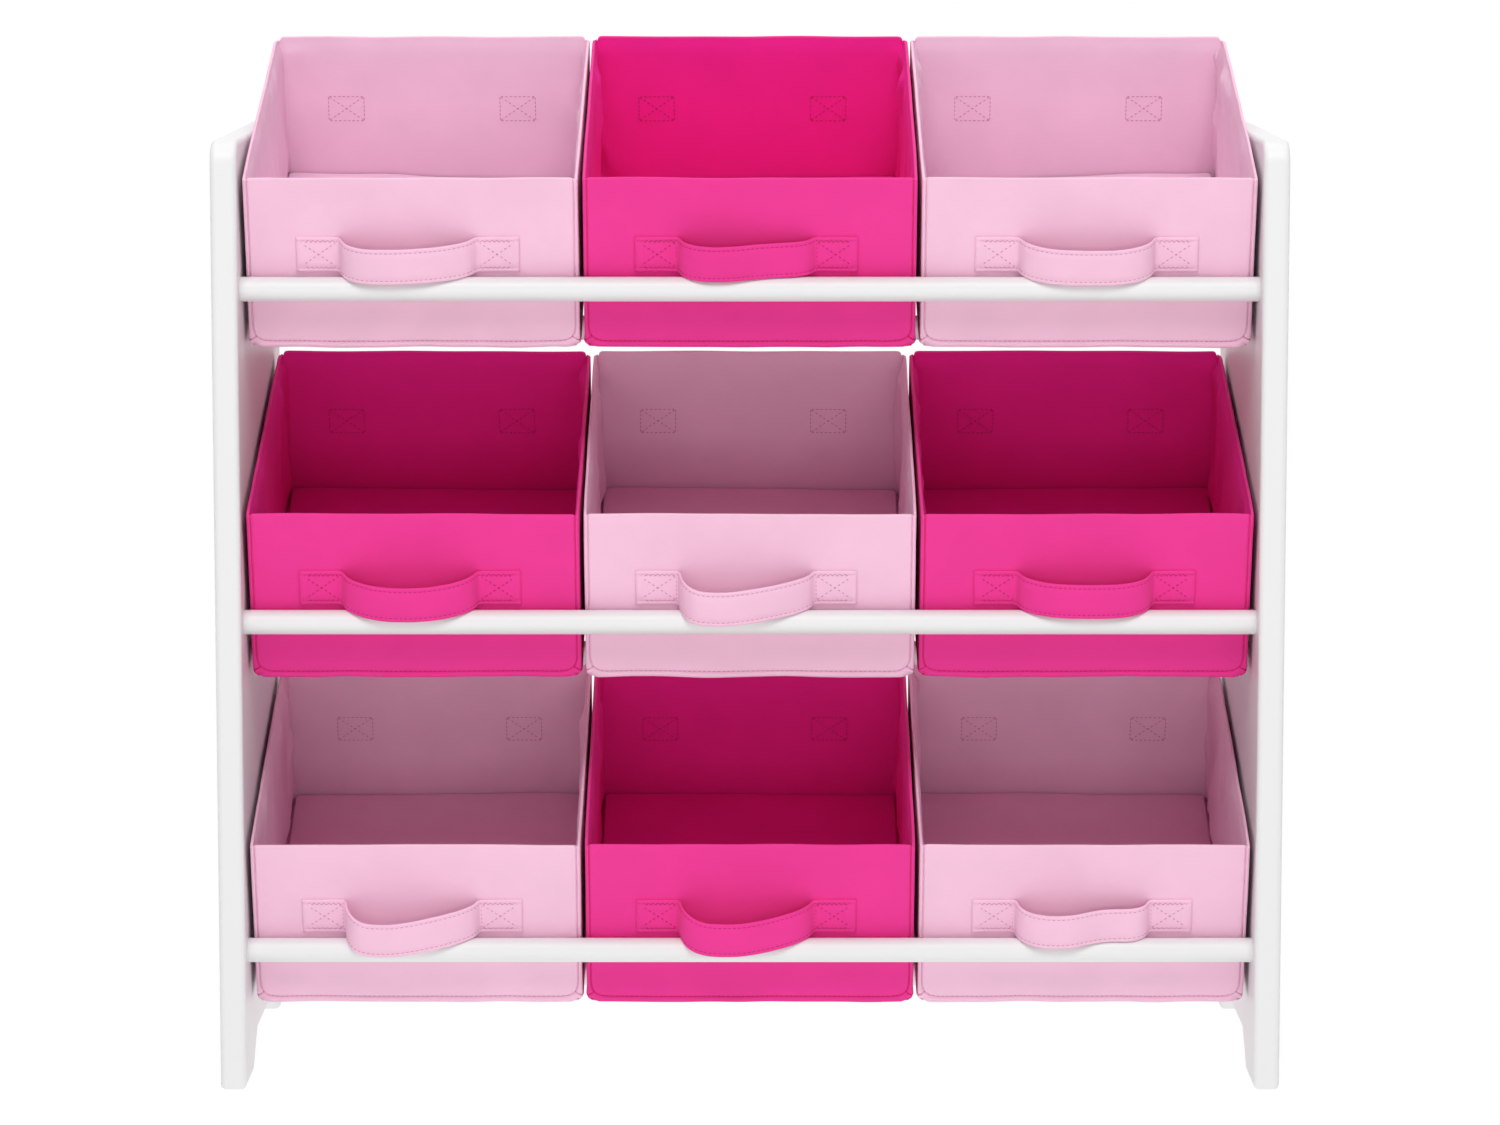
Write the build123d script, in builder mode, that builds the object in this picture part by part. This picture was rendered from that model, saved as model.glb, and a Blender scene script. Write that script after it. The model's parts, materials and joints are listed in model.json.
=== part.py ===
"""Children's storage organizer: two side panels, nine round rails and nine tilted fabric bins.

The bins stand in three tiers of three. Each tier has two rails under the bins and one rail in
front of them. A bin tips up about its rear support rail, which lifts it over the front rail, and
then comes out towards the front.

Frame: millimetres, +Z up, +X to the right as seen from the front, and the front faces -Y. The
origin is on the floor, at the middle of the footprint.
"""

import os
from math import cos, radians, sin

from build123d import *

# ---------------------------------------------------------------- driving dimensions

# Side panels
UNIT_WIDTH = 650.0            # outside to outside
PANEL_DEPTH = 290.0
PANEL_HEIGHT = 581.0
PANEL_THICKNESS = 16.0
PANEL_CORNER_RADIUS = 15.0    # upper corners, seen from the side
PANEL_EDGE_RADIUS = 3.5       # rounding along both faces
FOOT_LENGTH = 51.0            # floor contact of one foot, front to back
ARCH_HEIGHT = 20.5            # of the cut between the feet
ARCH_RAMP_RUN = 26.2          # level distance that the ramp at each end of the cut would take
ARCH_BLEND_RADIUS = 20.0      # where the ramp turns level

# Tiers and columns of bins
TIERS = ("bottom", "middle", "top")
COLUMNS = ("left", "centre", "right")
PANEL_ABOVE_TOP_TIER = 128.3  # panel top, above the top bins' lower front edge

# Bins, measured along the bin's own tilted floor and walls
BIN_TILT = 19.5               # degrees; the floor is lower at the front
BIN_GAP = 3.0                 # between neighbours
BIN_SIDE_GAP = 3.0            # outer bins to the panels
BIN_FRONT_HEIGHT = 112.0
BIN_REAR_HEIGHT = 104.0
BIN_SETBACK = 44.3            # lower front edge, behind the panels' front plane
BIN_REAR_MARGIN = 2.5         # lower rear edge, in front of the panels' rear plane
BIN_CLEAR_HEIGHT = 45.1       # lower front edge of the bottom tier, above the floor
BIN_CORNER_RADIUS = 2.5       # upright outer corners
FABRIC = 0.7                  # one layer
WALL_BOARD = 1.6              # card inside the double walls
WALL_BOARD_MARGIN = 2.0       # sewn seam around each wall board
FLOOR_FABRIC = 1.0
BASE_BOARD = 2.6              # loose insert on the floor
BASE_BOARD_GAP = 1.5          # from the insert to the walls
BASE_BOARD_CORNER = 4.0

# Strap handles
STRAP_WIDTH = 23.0
STRAP_THICKNESS = 1.5
STRAP_PATCH = 27.0            # sewn length at each end
STRAP_LOOP_SPAN = 81.0        # between the sewn ends
STRAP_LOOP_REACH = 17.5       # outside of the loop, from the wall
STRAP_LOOP_SLANT = 5.0        # how far each side of the loop leans in
STRAP_LOOP_RADIUS = 9.0       # outer bends
STRAP_ROOT_RADIUS = 2.0       # bends at the sewn ends
STRAP_DROP = 37.8             # from the rim to the strap's upper edge

# Rails
RAIL_DIAMETER = 15.0
RAIL_SOCKET_DEPTH = 6.0
RAIL_SOCKET_CLEARANCE = 0.1   # on the radius
FRONT_RAIL_GAP = 1.5          # to the bin's front wall
STRAP_RAIL_GAP = 0.6          # top of the front rail to the strap above it
SUPPORT_GAP = 0.3             # to the bin's floor
FRONT_SUPPORT_DEPTH = 47.5    # along the bin's floor, from its lower front edge
REAR_SUPPORT_INSET = 53.0     # along the bin's floor, from its lower rear edge

# Screws and caps, one of each at both ends of each rail
SCREW_DIAMETER = 4.0
SCREW_LENGTH = 38.0           # under the head
SCREW_POINT_LENGTH = 4.0
SCREW_POINT_RADIUS = 0.3
SCREW_HEAD_DIAMETER = 8.4
SCREW_HEAD_HEIGHT = 2.4
SCREW_HEAD_ROUNDING = 1.2
SCREW_DRIVE_WIDTH = 1.2
SCREW_DRIVE_SPAN = 4.6
SCREW_DRIVE_DEPTH = 1.3
SCREW_CLEARANCE = 0.25        # on the radius, in the panel
PILOT_SPARE_DEPTH = 1.0       # beyond the screw's point
COUNTERBORE_DIAMETER = 12.0
COUNTERBORE_DEPTH = 4.2
CAP_CLEARANCE = 0.05          # on the radius
CAP_FACE = 1.3
CAP_SKIRT = 1.1
CAP_RECESS = 0.2              # cap face, behind the panel's outer face
CAP_CHAMFER = 0.3

# ---------------------------------------------------------------- derived sizes and places

INNER_FACE_X = UNIT_WIDTH / 2 - PANEL_THICKNESS
SCREW_SEAT_X = UNIT_WIDTH / 2 - COUNTERBORE_DEPTH
RAIL_RADIUS = RAIL_DIAMETER / 2
RAIL_LENGTH = 2 * (INNER_FACE_X + RAIL_SOCKET_DEPTH)
SCREW_IN_RAIL = SCREW_LENGTH - (SCREW_SEAT_X - RAIL_LENGTH / 2)

TIER_PITCH = (PANEL_HEIGHT - PANEL_ABOVE_TOP_TIER - BIN_CLEAR_HEIGHT) / (len(TIERS) - 1)
BIN_PITCH = (2 * (INNER_FACE_X - BIN_SIDE_GAP) + BIN_GAP) / len(COLUMNS)
BIN_WIDTH = BIN_PITCH - BIN_GAP
BIN_DEPTH = (PANEL_DEPTH - BIN_SETBACK - BIN_REAR_MARGIN) / cos(radians(BIN_TILT))
WALL = 2 * FABRIC + WALL_BOARD
INSIDE_WIDTH = BIN_WIDTH - 2 * WALL
FRONT_STRAP_HEIGHT = BIN_FRONT_HEIGHT - STRAP_DROP - STRAP_WIDTH    # its lower edge
FRONT_RAIL_HEIGHT = FRONT_STRAP_HEIGHT - STRAP_RAIL_GAP - RAIL_RADIUS
REAR_SUPPORT_DEPTH = BIN_DEPTH - REAR_SUPPORT_INSET

TO_THE_REAR = Vector(0, cos(radians(BIN_TILT)), sin(radians(BIN_TILT)))    # along a bin's floor
UP_THE_WALL = Vector(0, -sin(radians(BIN_TILT)), cos(radians(BIN_TILT)))   # along a bin's walls


def bin_corner(tier, column=0):
    """Middle of a bin's lower front edge."""
    x = (column - (len(COLUMNS) - 1) / 2) * BIN_PITCH
    return Vector(x, BIN_SETBACK - PANEL_DEPTH / 2, BIN_CLEAR_HEIGHT + tier * TIER_PITCH)


def rail_centres(tier):
    """Name and centre of each rail of a tier. Only the centre's Y and Z are used."""
    corner = bin_corner(tier)
    under_the_floor = UP_THE_WALL * -(RAIL_RADIUS + SUPPORT_GAP)
    before_the_wall = TO_THE_REAR * -(RAIL_RADIUS + FRONT_RAIL_GAP)
    return {
        "front_rail": corner + UP_THE_WALL * FRONT_RAIL_HEIGHT + before_the_wall,
        "support_rail_front": corner + TO_THE_REAR * FRONT_SUPPORT_DEPTH + under_the_floor,
        "support_rail_rear": corner + TO_THE_REAR * REAR_SUPPORT_DEPTH + under_the_floor,
    }


RAILS = [
    (f"{name}_{TIERS[tier]}", centre.Y, centre.Z)
    for tier in range(len(TIERS))
    for name, centre in rail_centres(tier).items()
]
RAIL_POINTS = [(y, z) for _, y, z in RAILS]

os.makedirs("parts", exist_ok=True)


def save(piece, label):
    """Label a finished piece and write it to its own file."""
    piece.part.label = label
    export_step(piece.part, f"parts/{label}.step")


# ---------------------------------------------------------------- side panels


def make_side_panel(side):
    """A side panel with its rail sockets and screw holes. side is -1 for left, 1 for right."""
    front, rear = -PANEL_DEPTH / 2, PANEL_DEPTH / 2
    foot_end = rear - FOOT_LENGTH
    arch_end = foot_end - ARCH_RAMP_RUN
    outer_face = Plane.YZ.offset(side * UNIT_WIDTH / 2)
    inner_face = Plane.YZ.offset(side * INNER_FACE_X)
    outwards = side

    with BuildPart() as panel:
        with BuildSketch(inner_face) as outline:
            with BuildLine():
                Polyline(
                    (front, 0),
                    (front, PANEL_HEIGHT),
                    (rear, PANEL_HEIGHT),
                    (rear, 0),
                    (foot_end, 0),
                    (arch_end, ARCH_HEIGHT),
                    (-arch_end, ARCH_HEIGHT),
                    (-foot_end, 0),
                    close=True,
                )
            make_face()
            corners = outline.vertices()
            top_corners = [v for v in corners if v.Y > PANEL_HEIGHT / 2]
            arch_corners = [v for v in corners if 0 < v.Y < PANEL_HEIGHT / 2]
            fillet(top_corners, PANEL_CORNER_RADIUS)
            fillet(arch_corners, ARCH_BLEND_RADIUS)
        extrude(amount=outwards * PANEL_THICKNESS)
        face_edges = panel.faces().filter_by(Axis.X).edges()
        fillet(face_edges, PANEL_EDGE_RADIUS)

        with BuildSketch(inner_face):
            with Locations(*RAIL_POINTS):
                Circle(RAIL_RADIUS + RAIL_SOCKET_CLEARANCE)
        extrude(amount=outwards * RAIL_SOCKET_DEPTH, mode=Mode.SUBTRACT)
        with BuildSketch(outer_face):
            with Locations(*RAIL_POINTS):
                Circle(COUNTERBORE_DIAMETER / 2)
        extrude(amount=-outwards * COUNTERBORE_DEPTH, mode=Mode.SUBTRACT)
        with BuildSketch(inner_face):
            with Locations(*RAIL_POINTS):
                Circle(SCREW_DIAMETER / 2 + SCREW_CLEARANCE)
        extrude(amount=outwards * PANEL_THICKNESS, mode=Mode.SUBTRACT)
    return panel


save(make_side_panel(-1), "side_panel_left")
save(make_side_panel(1), "side_panel_right")

# ---------------------------------------------------------------- rails


def make_rail(y, z):
    """A round rail with a pilot hole in each end."""
    with BuildPart() as rail:
        with BuildSketch(Plane.YZ.offset(-RAIL_LENGTH / 2)):
            with Locations((y, z)):
                Circle(RAIL_RADIUS)
        extrude(amount=RAIL_LENGTH)
        for end in (-1, 1):
            with BuildSketch(Plane.YZ.offset(end * RAIL_LENGTH / 2)):
                with Locations((y, z)):
                    Circle(SCREW_DIAMETER / 2)
            extrude(amount=-end * (SCREW_IN_RAIL + PILOT_SPARE_DEPTH), mode=Mode.SUBTRACT)
    return rail


for rail_name, rail_y, rail_z in RAILS:
    save(make_rail(rail_y, rail_z), rail_name)

# ---------------------------------------------------------------- screws and caps

# Both are drawn on the X axis: the seat on the counterbore's floor is at X = 0, the rail is
# towards +X and the open mouth of the counterbore towards -X.

with BuildPart() as screw:
    with BuildSketch() as half_section:
        with BuildLine():
            Polyline(
                (-SCREW_HEAD_HEIGHT, 0),
                (-SCREW_HEAD_HEIGHT, SCREW_HEAD_DIAMETER / 2),
                (0, SCREW_HEAD_DIAMETER / 2),
                (0, SCREW_DIAMETER / 2),
                (SCREW_LENGTH - SCREW_POINT_LENGTH, SCREW_DIAMETER / 2),
                (SCREW_LENGTH, SCREW_POINT_RADIUS),
                (SCREW_LENGTH, 0),
                close=True,
            )
        make_face()
        head_corner = half_section.vertices().sort_by_distance((-SCREW_HEAD_HEIGHT, SCREW_HEAD_DIAMETER))[0]
        fillet(head_corner, SCREW_HEAD_ROUNDING)
    revolve(axis=Axis.X)
    with BuildSketch(Plane.YZ.offset(-SCREW_HEAD_HEIGHT)):
        Rectangle(SCREW_DRIVE_SPAN, SCREW_DRIVE_WIDTH)
        Rectangle(SCREW_DRIVE_WIDTH, SCREW_DRIVE_SPAN)
    extrude(amount=SCREW_DRIVE_DEPTH, mode=Mode.SUBTRACT)

with BuildPart() as cap:
    cap_radius = COUNTERBORE_DIAMETER / 2 - CAP_CLEARANCE
    cap_front = CAP_RECESS - COUNTERBORE_DEPTH
    with BuildSketch(Plane.YZ.offset(cap_front)):
        Circle(cap_radius)
    extrude(amount=-cap_front)
    chamfer(cap.edges().group_by(Axis.X)[0], CAP_CHAMFER)
    with BuildSketch(Plane.YZ):
        Circle(cap_radius - CAP_SKIRT)
    extrude(amount=cap_front + CAP_FACE, mode=Mode.SUBTRACT)

SCREW_SEATS = [
    Location((side * SCREW_SEAT_X, y, z), (0, 0, turn))
    for side, turn in ((-1, 0), (1, 180))
    for y, z in RAIL_POINTS
]

with BuildPart() as rail_screws:
    with Locations(*SCREW_SEATS):
        add(screw.part)
save(rail_screws, "rail_screws")

with BuildPart() as screw_caps:
    with Locations(*SCREW_SEATS):
        add(cap.part)
save(screw_caps, "screw_caps")

# ---------------------------------------------------------------- fabric bins


def rim_height(depth, drop=0.0):
    """Height of the sloping rim at a distance from the front wall, less a drop."""
    slope = (BIN_REAR_HEIGHT - BIN_FRONT_HEIGHT) / BIN_DEPTH
    return BIN_FRONT_HEIGHT + slope * depth - drop


def side_outline(front, rear, bottom, rim_drop):
    """Side view of a piece between two depths, from bottom up to the rim less a drop."""
    return [
        (front, bottom),
        (front, rim_height(front, rim_drop)),
        (rear, rim_height(rear, rim_drop)),
        (rear, bottom),
    ]


def extrude_side_view(side_plane, start, end, outline, mode=Mode.ADD):
    """Extrude a side view across the bin, between two places along its width."""
    with BuildSketch(side_plane.offset(start)) as side_view:
        with BuildLine():
            Polyline(*outline, close=True)
        make_face()
    extrude(side_view.sketch, amount=end - start, mode=mode)


def add_wall_boards(side_plane, mode):
    """The four cards inside the double walls, as solids or as the pockets that hold them."""
    across = BIN_WIDTH / 2 - WALL - WALL_BOARD_MARGIN
    margin = WALL_BOARD_MARGIN
    front_pocket = (FABRIC, FABRIC + WALL_BOARD)
    rear_pocket = (BIN_DEPTH - FABRIC - WALL_BOARD, BIN_DEPTH - FABRIC)
    for front, rear in (front_pocket, rear_pocket):
        extrude_side_view(side_plane, -across, across, side_outline(front, rear, margin, margin), mode)
    side_view = side_outline(WALL + margin, BIN_DEPTH - WALL - margin, margin, margin)
    outer = BIN_WIDTH / 2 - FABRIC
    for start in (-outer, outer - WALL_BOARD):
        extrude_side_view(side_plane, start, start + WALL_BOARD, side_view, mode)


def make_cover(side_plane):
    """The sewn fabric box, with a pocket in each double wall."""
    with BuildPart() as cover:
        outside = side_outline(0, BIN_DEPTH, 0, 0)
        extrude_side_view(side_plane, -BIN_WIDTH / 2, BIN_WIDTH / 2, outside)
        upright_edges = cover.edges().filter_by(Axis((0, 0, 0), UP_THE_WALL))
        fillet(upright_edges, BIN_CORNER_RADIUS)
        above_the_rim = -BIN_FRONT_HEIGHT
        inside = side_outline(WALL, BIN_DEPTH - WALL, FLOOR_FABRIC, above_the_rim)
        extrude_side_view(side_plane, -INSIDE_WIDTH / 2, INSIDE_WIDTH / 2, inside, Mode.SUBTRACT)
        add_wall_boards(side_plane, Mode.SUBTRACT)
    return cover


def make_wall_boards(side_plane):
    with BuildPart() as boards:
        add_wall_boards(side_plane, Mode.ADD)
    return boards


def make_base_board(floor_plane):
    """The loose insert that makes the floor stiff."""
    clear = WALL + BASE_BOARD_GAP
    with BuildPart() as board:
        with BuildSketch(floor_plane.offset(FLOOR_FABRIC)):
            with Locations((0, BIN_DEPTH / 2)):
                RectangleRounded(BIN_WIDTH - 2 * clear, BIN_DEPTH - 2 * clear, BASE_BOARD_CORNER)
        extrude(amount=BASE_BOARD)
    return board


def make_handle(floor_plane, wall_depth, wall_height, outwards):
    """A strap sewn to a wall at both ends. outwards is -1 on the front wall, 1 on the rear."""
    on_wall = wall_depth + outwards * STRAP_THICKNESS / 2
    out_front = wall_depth + outwards * (STRAP_LOOP_REACH - STRAP_THICKNESS / 2)
    root = STRAP_LOOP_SPAN / 2
    shoulder = root - STRAP_LOOP_SLANT
    lower_edge = wall_height - STRAP_DROP - STRAP_WIDTH
    with BuildPart() as handle:
        with BuildSketch(floor_plane.offset(lower_edge)):
            with BuildLine():
                FilletPolyline(
                    (-root - STRAP_PATCH, on_wall),
                    (-root, on_wall),
                    (-shoulder, out_front),
                    (shoulder, out_front),
                    (root, on_wall),
                    (root + STRAP_PATCH, on_wall),
                    radius=(STRAP_ROOT_RADIUS, STRAP_LOOP_RADIUS, STRAP_LOOP_RADIUS, STRAP_ROOT_RADIUS),
                )
            trace(line_width=STRAP_THICKNESS)
        extrude(amount=STRAP_WIDTH)
    return handle


for tier, tier_name in enumerate(TIERS):
    for column, column_name in enumerate(COLUMNS):
        corner = bin_corner(tier, column)
        bin_side = Plane(origin=corner, x_dir=TO_THE_REAR, z_dir=(1, 0, 0))
        bin_floor = Plane(origin=corner, x_dir=(1, 0, 0), z_dir=UP_THE_WALL)
        bin_name = f"bin_{tier_name}_{column_name}"
        save(make_cover(bin_side), f"{bin_name}_cover")
        save(make_wall_boards(bin_side), f"{bin_name}_wall_boards")
        save(make_base_board(bin_floor), f"{bin_name}_base_board")
        save(make_handle(bin_floor, 0, BIN_FRONT_HEIGHT, -1), f"{bin_name}_front_handle")
        save(make_handle(bin_floor, BIN_DEPTH, BIN_REAR_HEIGHT, 1), f"{bin_name}_rear_handle")
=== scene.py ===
"""Looks of the children's bin organizer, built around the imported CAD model.

Everything is in metres in the CAD's frame: +Z up, +X to the right, and the front faces -Y. Each bin
has its own tilted frame: x across it, depth along its floor to the rear, and height along its walls.
Inside that frame lengths are in millimetres, and Bin.place turns them into a point in the scene.
"""

import json
import math
from collections import namedtuple

import bmesh
import bpy
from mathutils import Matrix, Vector, noise


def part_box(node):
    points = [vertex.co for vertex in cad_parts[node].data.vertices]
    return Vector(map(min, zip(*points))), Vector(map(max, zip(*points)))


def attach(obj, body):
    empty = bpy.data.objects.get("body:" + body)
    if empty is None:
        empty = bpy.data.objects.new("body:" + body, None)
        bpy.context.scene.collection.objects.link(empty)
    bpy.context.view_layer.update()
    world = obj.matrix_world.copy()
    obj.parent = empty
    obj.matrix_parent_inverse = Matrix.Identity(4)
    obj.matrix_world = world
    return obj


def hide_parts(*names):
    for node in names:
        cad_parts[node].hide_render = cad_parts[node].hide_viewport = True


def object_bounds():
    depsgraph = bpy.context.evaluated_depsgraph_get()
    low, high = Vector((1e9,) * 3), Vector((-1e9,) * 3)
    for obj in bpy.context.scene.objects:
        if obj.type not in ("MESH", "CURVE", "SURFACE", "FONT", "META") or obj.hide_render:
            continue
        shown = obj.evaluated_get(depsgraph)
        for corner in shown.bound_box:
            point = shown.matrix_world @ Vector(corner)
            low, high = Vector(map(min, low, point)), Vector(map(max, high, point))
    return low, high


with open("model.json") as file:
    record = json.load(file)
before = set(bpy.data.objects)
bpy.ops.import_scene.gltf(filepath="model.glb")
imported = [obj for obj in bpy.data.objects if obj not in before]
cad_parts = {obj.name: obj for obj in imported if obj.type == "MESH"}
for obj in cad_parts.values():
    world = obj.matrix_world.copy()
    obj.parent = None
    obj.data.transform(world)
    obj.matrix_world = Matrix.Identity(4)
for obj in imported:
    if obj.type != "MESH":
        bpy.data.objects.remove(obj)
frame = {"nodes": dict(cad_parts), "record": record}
cad_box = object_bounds()

MM = 0.001
TIERS = ("bottom", "middle", "top")
COLUMNS = ("left", "centre", "right")

# ---------------------------------------------------------------- sizes, in millimetres

BIN_TILT = math.radians(19.5)  # each bin's floor is lower at the front
BIN_FRONT_HEIGHT = 112.0
WALL = 3.0                    # two layers of cloth with card between them
RIM_THICKNESS = 1.9           # the cloth alone, above the card
WALL_CORNER = 1.6             # radius of the upright outer corners
HEM_HEIGHT = 4.2              # sewn edge around the floor
HEM_BULGE = 0.6
HEM_WAVE = 0.9                # how far it wanders up and down on the end walls
HEM_STITCH_INSET = 0.9        # depth of its stitches in the groove above it
SEAM_INSET = 2.4              # upright seams on the end walls, from the outside of the side walls
SEAM_DEPTH = 1.8
SEAM_HALF_WIDTH = 0.6
SEAM_ROUNDING = 2.6           # how far the seams cut across the lower corners
SEAM_ROUNDING_REACH = 12.0
SIDE_BOW = 0.9                # how far the long side walls swell outwards
END_BOW = 0.4                 # and the end walls
REAR_FLARE = 0.35             # how far the side walls stand out at the rear, besides
RIM_WAVE = 0.9                # how far the rim wanders up and down
CORNER_DIP = 2.2              # how far the rim drops at the rear corners
CORNER_DIP_WIDTH = 5.0
CORNER_DIP_LENGTH = 14.0
EVERY_CORNER_DIP = 0.8        # how far it drops at all four, besides
FOLD_SHARPNESS = 6.0
FOLD_SPACING = 58.0
FOLD_SLANTS = (0.35, -0.22)   # how far each set of folds leans, per millimetre of height
LINING_FOLD = 3.2             # height of the folds in the loose lining
END_RIPPLE = 0.35             # unevenness of the end walls
SIDE_RIPPLE = 0.3             # unevenness of the side walls
LOWER_TUCK = 1.9              # how far the lower corners are drawn in
LOWER_LIFT = 1.3              # how far the lower corners are drawn up
LOWER_REACH = 8.0             # from the lower corners
RIM_NOTCH = 0.7               # depth of the seams' notch in the rim
CLOTH_FLOOR = 1.2             # thickness of the cover's own floor
CLOTH_FLOOR_CORNER = 3.0
INSERT_THICKNESS = 2.6
INSERT_CORNER = 4.0
INSERT_GAP = 2.0              # to the side walls
INSERT_END_GAP = 0.8          # to the front and rear walls
INSERT_CURL_LENGTH = 75.0     # of the stretch that lifts to the rear
INSERT_WAVE = 0.4
INSERT_CURLS = {              # how far each insert's left and right rear corners lift
    "top_left": (6.5, 1.5), "top_centre": (1.5, 3.5), "top_right": (1.5, 6.5),
    "middle_left": (2.5, 1.5), "middle_centre": (3.5, 1.5), "middle_right": (1.5, 3.0),
    "bottom_left": (1.5, 3.5), "bottom_centre": (3.0, 1.5), "bottom_right": (3.0, 2.0),
}

STRAP_WIDTH = 23.0
STRAP_THICKNESS = 1.5
FRONT_STRAP_SPAN = 135.5      # over both sewn ends
REAR_STRAP_SPAN = 141.5
STRAP_LOOP = 81.0             # between the sewn ends
STRAP_DROP = 37.8             # rim to the strap's upper edge
STRAP_SEAM = 9.0              # rows of stitches, from the strap's middle
STRAP_SEAM_DEPTH = 0.3
STRAP_STEP = 1.5              # between the sections that make up a strap
STRAP_SUNK = 0.25             # how deep the sewn ends press into the wall
BOX_WIDTH, BOX_HEIGHT = 23.0, 16.8    # stitched box with a cross on each sewn end
STRAP_FOLD = 4.5              # turned-under end of the strap
FOLDED_THICKNESS = 1.5        # of the turned-under end, as a share of the strap's
END_THICKNESS = 0.6           # of its very end
STRAP_FRAY = 0.012            # unevenness of the strap's width
LOOP_SQUARE = 2.2             # how square a loop is, seen from above; 2 is a plain ellipse

THREAD_PITCH = 0.45           # of the cloth's weave
STITCH_LENGTH = 2.1
STITCH_PITCH = 3.0            # from one stitch to the next
STITCH_RADIUS = 0.3
STITCH_SIDES = 6
STITCH_RINGS = (              # place along half its length, share of its radius, height over the cloth
    (-1.0, 0.35, -0.30), (-0.6, 0.9, -0.02), (0.0, 1.0, 0.10), (0.6, 0.9, -0.02), (1.0, 0.35, -0.30),
)

# Each use of the smooth noise has its own number, to which a bin adds its own, so that no two of a bin's
# irregularities match. Two numbers lie NOISE_STEP times their difference apart in the noise.
NOISE_STEP = (7.31, -3.17, 1.73)
NOISE_OF = {
    "end walls": 0, "hem": 20, "side walls": 40, "first folds": 60, "second folds": 65, "lining": 70,
    "rim": 80, "insert curl": 100, "insert": 120, "strap edge": 200,
}

# How a strap hangs: where it is sewn, its reach from the wall, its sag, the place of its deepest point,
# how square its left and right shoulders are, how softly it bends at its ends, and how far its right
# half is pushed back to the wall.
Loop = namedtuple(
    "Loop", "sewn_at reach sag deepest left_square right_square softness dent", defaults=[0]
)
FRONT_LOOPS = {
    "top_left": Loop(-2.4, 19.5, 0.9, -12, 3.4, 1.9, 8),
    "top_centre": Loop(-2.2, 16.5, 0.5, -17, 2.6, 1.9, 4, 3.0),
    "top_right": Loop(-0.9, 19.0, 1.8, 3, 3.0, 3.0, 6),
    "middle_left": Loop(-2.6, 21.5, 2.0, -4, 2.2, 2.2, 7),
    "middle_centre": Loop(-2.3, 23.5, 3.8, -13, 4.5, 1.35, 3),
    "middle_right": Loop(-0.7, 19.0, 0.9, 3, 2.6, 3.2, 6),
    "bottom_left": Loop(-2.8, 23.5, 5.0, -13, 4.5, 1.35, 3),
    "bottom_centre": Loop(-2.4, 23.5, 4.8, -8, 4.0, 1.6, 4),
    "bottom_right": Loop(-0.8, 21.0, 0.6, -14, 2.6, 2.6, 4, 6.5),
}
REAR_LOOPS = {
    "top_left": Loop(-1.4, 17.0, 2.0, -4, 2.6, 2.4, 8),
    "top_centre": Loop(-5.0, 18.0, 3.5, 3, 2.4, 2.6, 6),
    "top_right": Loop(-5.0, 16.0, 1.0, 0, 2.8, 2.8, 10),
    "middle_left": Loop(-3.0, 18.0, 3.0, 5, 2.2, 3.0, 6),
    "middle_centre": Loop(-4.5, 16.5, 1.0, -3, 2.6, 2.6, 8),
    "middle_right": Loop(-2.0, 17.5, 2.5, -6, 3.0, 2.2, 6),
    "bottom_left": Loop(0.6, 16.0, 1.5, 2, 2.4, 2.8, 8),
    "bottom_centre": Loop(-3.4, 18.0, 4.0, -8, 3.0, 2.0, 5),
    "bottom_right": Loop(1.4, 17.0, 1.0, 4, 2.4, 2.6, 8),
}

# ---------------------------------------------------------------- small helpers


def smooth_step(value, start, end):
    """0 up to start and 1 from end on, with a smooth rise between them."""
    t = min(max((value - start) / (end - start), 0.0), 1.0)
    return t * t * (3 - 2 * t)


def wave(number, *place):
    """Smooth noise from -1 to 1. place is in millimetres, already divided by the wave's length."""
    place = (*place, 0.0, 0.0)[:3]
    return noise.noise(Vector([p + number * step for p, step in zip(place, NOISE_STEP)]))


def spaced(start, end, count):
    """Evenly spaced values, both ends among them."""
    return [start + (end - start) * i / (count - 1) for i in range(count)]


def grid_faces(rows, columns, wrap_rows=False, wrap_columns=False, first=0):
    """Quads over a grid of vertices that are numbered row by row."""
    faces = []
    for r in range(rows if wrap_rows else rows - 1):
        for c in range(columns if wrap_columns else columns - 1):
            r2, c2 = (r + 1) % rows, (c + 1) % columns
            faces.append(tuple(first + a * columns + b for a, b in ((r, c), (r, c2), (r2, c2), (r2, c))))
    return faces


def make_piece(name, points, faces, material, body, lining=None, lined=()):
    """A smooth-shaded mesh that moves with a CAD body. lined are the faces that show the lining, whose
    colour carries painted shade.
    """
    mesh = bpy.data.meshes.new(name)
    mesh.from_pydata([tuple(p) for p in points], [], faces)
    mesh.materials.append(material)
    if lining:
        mesh.materials.append(lining)
        for face in lined:
            mesh.polygons[face].material_index = 1
    mesh.polygons.foreach_set("use_smooth", [True] * len(mesh.polygons))
    shell = bmesh.new()
    shell.from_mesh(mesh)
    bmesh.ops.recalc_face_normals(shell, faces=shell.faces)
    shell.to_mesh(mesh)
    shell.free()
    piece = bpy.data.objects.new(name, mesh)
    bpy.context.scene.collection.objects.link(piece)
    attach(piece, body)
    return piece


# ---------------------------------------------------------------- materials

# Scales of the noise in the materials, in waves per metre.
FIBRE_SCALE = 2600.0
MOTTLING_SCALE = 28.0
TWIST_SCALE = 3200.0
ORANGE_PEEL_SCALE = 420.0
PATCH_SCALE = 9.0
ZINC_GRAIN_SCALE = 900.0
PLASTIC_GRAIN_SCALE = 1500.0


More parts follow.
